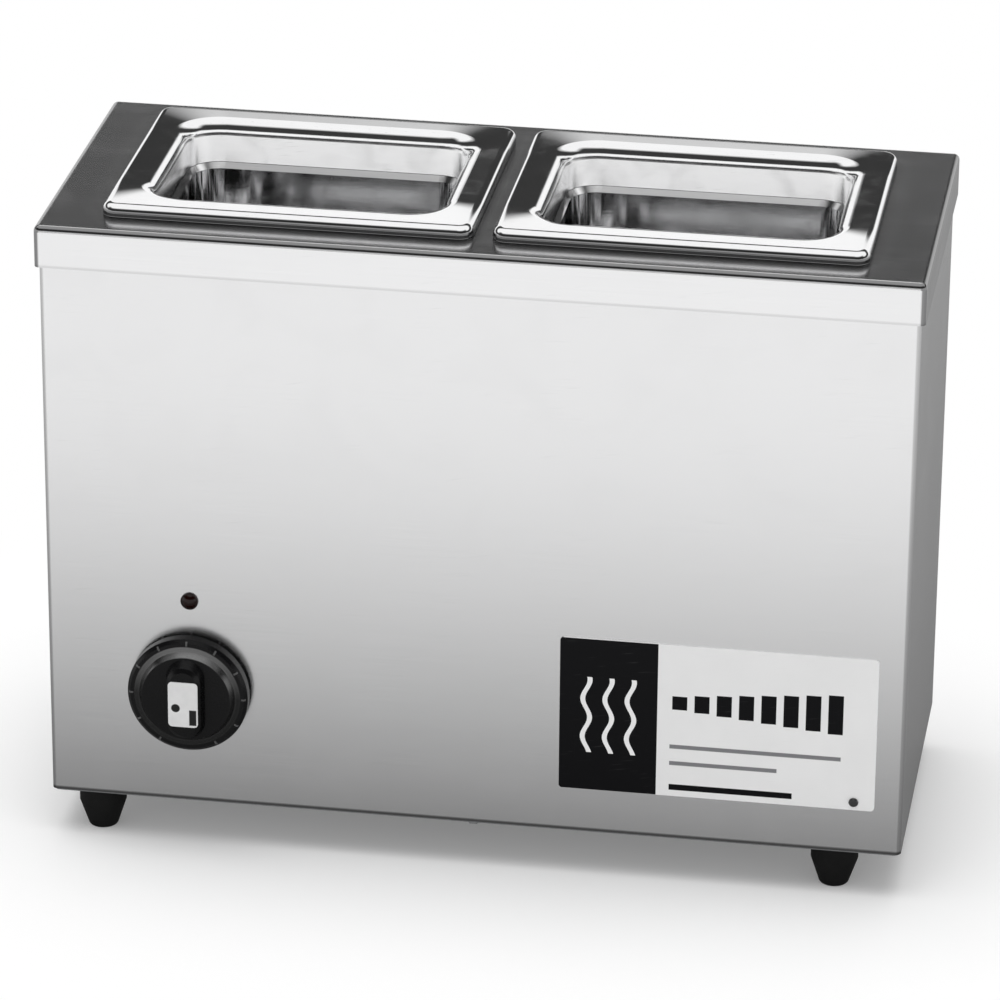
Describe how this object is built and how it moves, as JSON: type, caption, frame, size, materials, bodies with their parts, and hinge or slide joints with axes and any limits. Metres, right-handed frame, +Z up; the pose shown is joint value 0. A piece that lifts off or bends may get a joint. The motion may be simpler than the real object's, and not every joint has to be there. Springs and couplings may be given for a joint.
{
  "type": "countertop food pan warmer",
  "caption": "Countertop warmer: steel casing on rubber feet, lift-out food pans over a heated water tank, front dial and pilot lamp.",
  "frame": {"origin": "centre of the overall footprint, on the surface that the feet stand on", "axes": "+X to the right along the front, +Y to the rear, +Z up"},
  "size_m": [0.42, 0.196, 0.325],
  "materials": {
    "cover_steel": "fine satin grain along the length",
    "body_steel": "fine satin grain along the length",
    "pan_steel": "bright drawn finish inside, satin rim",
    "tank_steel": "mill finish",
    "plain_steel": "mill finish sheet",
    "element_sheath": "dull heat-toned sheath",
    "zinc_fasteners": "bright zinc plate",
    "spindle_steel": "turned steel",
    "glass_fibre": "matted glass fibre",
    "thermostat_moulding": "moulded phenolic",
    "dial_black": "moulded, satin gloss",
    "dial_inlay": "bright inlay with a printed pointer",
    "lens_amber": "dark unlit lens",
    "capillary_copper": "drawn copper",
    "plate_print": "printed black and pale grey",
    "rivet_steel": "darkened rivet",
    "foot_rubber": "moulded black rubber",
    "bushing_nylon": "moulded nylon",
    "block_moulding": "moulded thermoset",
    "lead_sleeve": "braided high-temperature sleeve"
  },
  "bodies": {
    "housing": {"base_plate": "plain_steel", "base_screws": "zinc_fasteners", "block_screws": "zinc_fasteners", "body_wrap": "body_steel", "bulb_clip": "tank_steel", "bushing_nut": "bushing_nylon", "capillary": "capillary_copper", "clamp_nuts": "zinc_fasteners", "clamp_studs": "zinc_fasteners", "cord_bushing": "bushing_nylon", "cover_screws": "zinc_fasteners", "earth_nut": "zinc_fasteners", "earth_stud": "zinc_fasteners", "element_clamp_left": "plain_steel", "element_clamp_right": "plain_steel", "element_left": "element_sheath", "element_links": "zinc_fasteners", "element_right": "element_sheath", "foot_front_left": "foot_rubber", "foot_front_right": "foot_rubber", "foot_rear_left": "foot_rubber", "foot_rear_right": "foot_rubber", "foot_screws": "zinc_fasteners", "heat_baffle": "plain_steel", "insulation_pad": "glass_fibre", "lead_earth": "lead_sleeve", "lead_lamp_live": "lead_sleeve", "lead_lamp_return": "lead_sleeve", "lead_return": "lead_sleeve", "lead_supply": "lead_sleeve", "lead_switched": "lead_sleeve", "name_plate": "plate_print", "pilot_lamp": "thermostat_moulding", "pilot_lens": "lens_amber", "pilot_nut": "zinc_fasteners", "plate_rivet": "rivet_steel", "rear_panel": "body_steel", "rear_screws": "zinc_fasteners", "sensing_bulb": "capillary_copper", "tank_blanket": "glass_fibre", "terminal_block": "block_moulding", "thermostat": "thermostat_moulding", "thermostat_screws": "zinc_fasteners", "top_cover": "cover_steel", "water_tank": "tank_steel"},
    "dial": {"dial_knob": "dial_black", "dial_insert": "dial_inlay", "thermostat_shaft": "spindle_steel"},
    "left_pan": {"food_pan_left": "pan_steel"},
    "right_pan": {"food_pan_right": "pan_steel"}
  },
  "joints": [
    {"name": "dial_turn", "type": "hinge", "parent": "housing", "child": "dial", "pos_m": [-0.138, -0.079, 0.084], "axis": [0, 1, 0], "range_deg": [0, 300]},
    {"name": "left_pan_lift", "type": "slide", "parent": "housing", "child": "left_pan", "axis": [0, 0, 1], "range_m": [0, 0.12]},
    {"name": "right_pan_lift", "type": "slide", "parent": "housing", "child": "right_pan", "axis": [0, 0, 1], "range_m": [0, 0.12]}
  ]
}
